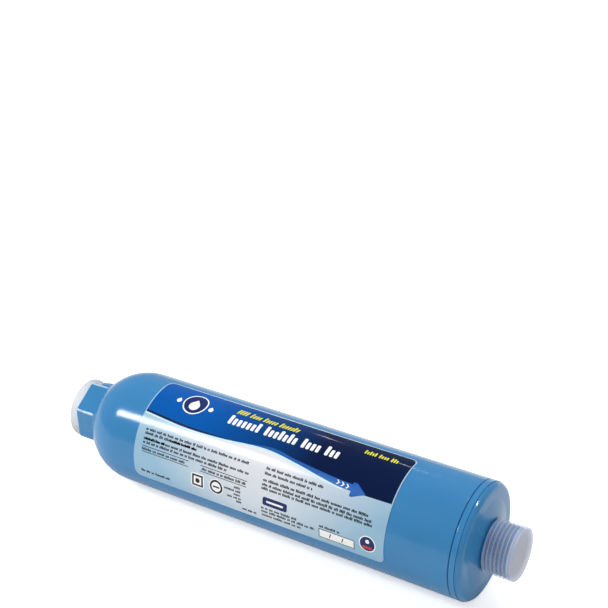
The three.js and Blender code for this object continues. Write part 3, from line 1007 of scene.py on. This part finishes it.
def draw_symbols(black, white, bright, navy, red):
    """Plain symbols where the marks would be, each a simple shape of its own."""
    white.box(-41.4, 52.2, 9.0, 9.0, corner=1.6)
    black.frame(-40.6, 53.0, 7.4, 7.4, 1.1)
    black.ring(-36.9, 56.7, 1.5, 1.5)
    white.ring(-24.1, 56.6, 4.9, 4.9)
    black.ring(-24.1, 56.6, 4.3, 1.2)
    black.box(-26.3, 56.1, 4.4, 1.0)
    navy.box(6.8, 52.0, 15.6, 5.0, corner=1.0)
    bright.box(9.2, 53.9, 10.8, 1.2, corner=0.5)
    white.ring(72.5, 58.6, 5.0, 5.0)
    navy.ring(72.5, 58.6, 4.4, 4.4)
    red.box(69.6, 60.0, 5.8, 1.6, corner=0.7)
    bright.ring(72.5, 57.0, 1.2, 1.2)


def draw_date_box(black, white):
    """An empty box with two slashes."""
    x, v, width, height = 42.7, 59.4, 22.0, 5.7
    white.box(x, v, width, height)
    black.frame(x, v, width, height, 0.4)
    for slash in (49.0, 56.6):
        black.box(slash, v + 1.3, 0.6, 3.0, slant=0.9)


def make_label():
    """The sheet and one film for each ink. A higher layer lies over a lower one."""
    rng = random.Random(11)
    sheet = Ink("label_sheet", 0, paper())
    sheet.box(-LABEL_HALF, 0, 2 * LABEL_HALF, LABEL_HEIGHT, corner=LABEL_CORNER)
    base = sheet.finish(bottom=SHEET_BOTTOM, top=SHEET_TOP)
    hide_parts("product_label")

    band = Ink("label_band", 0, printed(
        "band_ink", BAND_BLUE, BAND_NAVY, start=-0.045, end=0.028, roughness=0.07, shine=0.12,
    ))
    halo = Ink("label_halo", 0, printed("halo_ink", srgb(205, 240, 248)))
    line = Ink("label_navy_line", 1, printed("navy_line_ink", BAND_NAVY))
    swoosh = Ink("label_flow_arrow", 1, printed("swoosh_ink", SWOOSH_BLUE, SWOOSH_TIP, end=0.06))
    navy = Ink("label_navy", 2, printed("navy_ink", srgb(12, 38, 98)))
    white = Ink("label_white", 1, printed("white_ink", srgb(246, 249, 252)))
    bright = Ink("label_bright_white", 3, printed("bright_white_ink", srgb(250, 252, 255)))
    yellow = Ink("label_yellow", 2, printed("yellow_ink", srgb(226, 222, 40)))
    red = Ink("label_red", 3, printed("red_ink", srgb(206, 52, 44)))
    black = Ink("label_black", 2, printed("black_ink", srgb(10, 14, 26)))

    draw_band(band, line, halo, swoosh)
    draw_badge(bright, navy)
    placeholder_title(bright, rng, -30.0, 12.1, 43.0, 6.8)
    placeholder_title(yellow, rng, -29.2, 6.0, 11.8, 4.0, slant=0.9)
    placeholder_title(yellow, rng, 53.1, 5.7, 73.8, 3.3)
    for k in range(3):
        draw_chevron(bright, 47.4 + 3.0 * k, 31.0 + 0.32 * k)
    draw_small_print(black, rng)
    draw_date_box(black, white)
    draw_symbols(black, white, bright, navy, red)
    for ink in (band, halo, line, swoosh, navy, white, bright, yellow, red, black):
        ink.finish()


# ---------------------------------------------------------------- inside
def dress_grids():
    """The two perforated plates keep their CAD shape and get a finish of their own."""
    white = moulded_plastic("grid_plastic", srgb(240, 240, 236), 0.45)
    for node in ("inlet_grid", "outlet_grid"):
        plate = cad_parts[node]
        plate.data.materials.clear()
        plate.data.materials.append(white)


# ---------------------------------------------------------------- studio and camera
# Lights are placed in metres, and their strengths are in watts.
CAMERA_PLACE = Vector((331.8, -509.78, 424.13)) * MM
CAMERA_AZIMUTH = math.radians(31.987)
CAMERA_ELEVATION = math.radians(27.638)
CAMERA_ROLL = math.radians(-1.053)
LENS_MM = 79.14
FLOOR_SIZE = 4000
FLOOR_GLOW = 0.58  # added for the camera only, so that the floor is near white
GLINT_DISTANCE = 1.2


def make_camera():
    data = bpy.data.cameras.new("studio_camera")
    data.lens = LENS_MM
    data.sensor_width = 36
    data.clip_start = 0.01
    camera = bpy.data.objects.new("studio_camera", data)
    bpy.context.scene.collection.objects.link(camera)
    flat = math.cos(CAMERA_ELEVATION)
    ahead = Vector((
        -math.sin(CAMERA_AZIMUTH) * flat, math.cos(CAMERA_AZIMUTH) * flat, -math.sin(CAMERA_ELEVATION)
    ))
    right = ahead.cross(Vector((0, 0, 1))).normalized()
    up = right.cross(ahead)
    c, s = math.cos(CAMERA_ROLL), math.sin(CAMERA_ROLL)
    axes = Matrix((right * c + up * s, up * c - right * s, -ahead)).transposed()
    camera.matrix_world = Matrix.Translation(CAMERA_PLACE) @ axes.to_4x4()
    bpy.context.scene.camera = camera


def make_light(name, place, target, width, height, watts, mirrored=True, lights_up=True, along=None):
    """A rectangular light that faces its target. along is the direction of its width."""
    data = bpy.data.lights.new(name, "AREA")
    data.shape = "RECTANGLE"
    data.size, data.size_y, data.energy = width, height, watts
    light = bpy.data.objects.new(name, data)
    bpy.context.scene.collection.objects.link(light)
    light.location = place
    light.visible_glossy = mirrored
    light.visible_diffuse = lights_up
    back = (Vector(place) - Vector(target)).normalized()
    side = Vector(along or Vector((0, 0, 1)).cross(back))
    side = (side - back * side.dot(back)).normalized()
    light.rotation_euler = Matrix((side, back.cross(side), back)).transposed().to_euler()


def make_glint(name, target, direction, width, height, watts):
    """A small light that only shows mirrored in glossy surfaces near its target."""
    place = Vector(target) + Vector(direction) * GLINT_DISTANCE
    make_light(name, place, target, width, height, watts, lights_up=False)


def make_floor():
    bm = bmesh.new()
    bmesh.ops.create_grid(bm, x_segments=2, y_segments=2, size=FLOOR_SIZE)
    mesh = to_mesh("studio_floor", bm)
    floor = bpy.data.objects.new("studio_floor", mesh)
    floor.location.z = -BODY_R * MM
    bpy.context.scene.collection.objects.link(floor)
    f = Finish("studio_floor")
    lift = f.maths("MULTIPLY", f.node("ShaderNodeLightPath").outputs["Is Camera Ray"], FLOOR_GLOW)
    f.surface(
        Base_Color=f.mix(f.noise(3, 2), srgb(248, 244, 238), srgb(252, 249, 244)),
        Roughness=0.9,
        Emission_Color=(1, 1, 1, 1),
        Emission_Strength=lift,
    )
    mesh.materials.append(f.material)


def make_studio():
    world = bpy.data.worlds.new("studio")
    world.use_nodes = True
    tree = world.node_tree
    background = tree.nodes["Background"]
    background.inputs["Color"].default_value = (1, 1, 1, 1)
    strength = tree.nodes.new("ShaderNodeMapRange")
    strength.inputs["To Min"].default_value = 0.5
    strength.inputs["To Max"].default_value = 1.0
    tree.links.new(tree.nodes.new("ShaderNodeLightPath").outputs["Is Camera Ray"], strength.inputs["Value"])
    tree.links.new(strength.outputs[0], background.inputs["Strength"])
    bpy.context.scene.world = world
    bpy.context.scene.view_settings.view_transform = "Standard"
    make_floor()
    streak_place = Vector((-0.07, -0.0225, 0.0228))
    toward_softbox = Vector((-0.535, -0.530, 0.658)).normalized()
    make_light("softbox", streak_place + toward_softbox, streak_place, 0.38, 0.16, 4.6,
               along=(0.77, -0.055, 0.635))
    make_light("rear_key", (0.1, 0.9, 1.5), (0, 0, 0), 1.6, 1.2, 16, mirrored=False)
    make_glint("glint_0", (0.0265, 0, 0.032), (-0.429, 0.738, 0.521), 0.016, 0.06, 0.05)
    make_glint("glint_1", (0.0733, 0, 0.032), (-0.373, 0.692, 0.618), 0.016, 0.06, 0.05)
    make_glint("edge_glint", (0.114, -0.01, 0.03), (0.167, 0.242, 0.956), 0.1, 0.1, 5)


# ---------------------------------------------------------------- the filter
# the collar's upright edges get a painted highlight
blue = moulded_plastic("shell_blue", BODY_BLUE, 0.14, edge_highlight=painted_edge_highlights)
plug_plastic = frosted_plastic(
    "plug_plastic", srgb(247, 246, 244), rim_shade=0.08,
    thick_from=HEX_END, thick_to=PLUG_LOW.x, thin=0.32, thick=0.42, edge_on=0.8,
)
cap_plastic = frosted_plastic(
    "cap_plastic", srgb(226, 234, 250), rim_shade=0.7,
    thick_from=END_CAP_HIGH.x - 2.6, thick_to=THREAD_CAP_HIGH.x - 0.8, thin=0.12, thick=0.5, edge_on=0.2,
    thread=(THREAD_CAP_LOW.x + 1.6, END_CAP_HIGH.x - 0.6),
)
make_canister(blue)
make_collar_pad(blue)
make_end_cap(blue)
make_plug(plug_plastic)
make_thread_cap(cap_plastic)
make_washer(rubber())
make_inlet_screen()
make_fill()
make_outlet_screen()
make_label()
dress_grids()
make_studio()
make_camera()
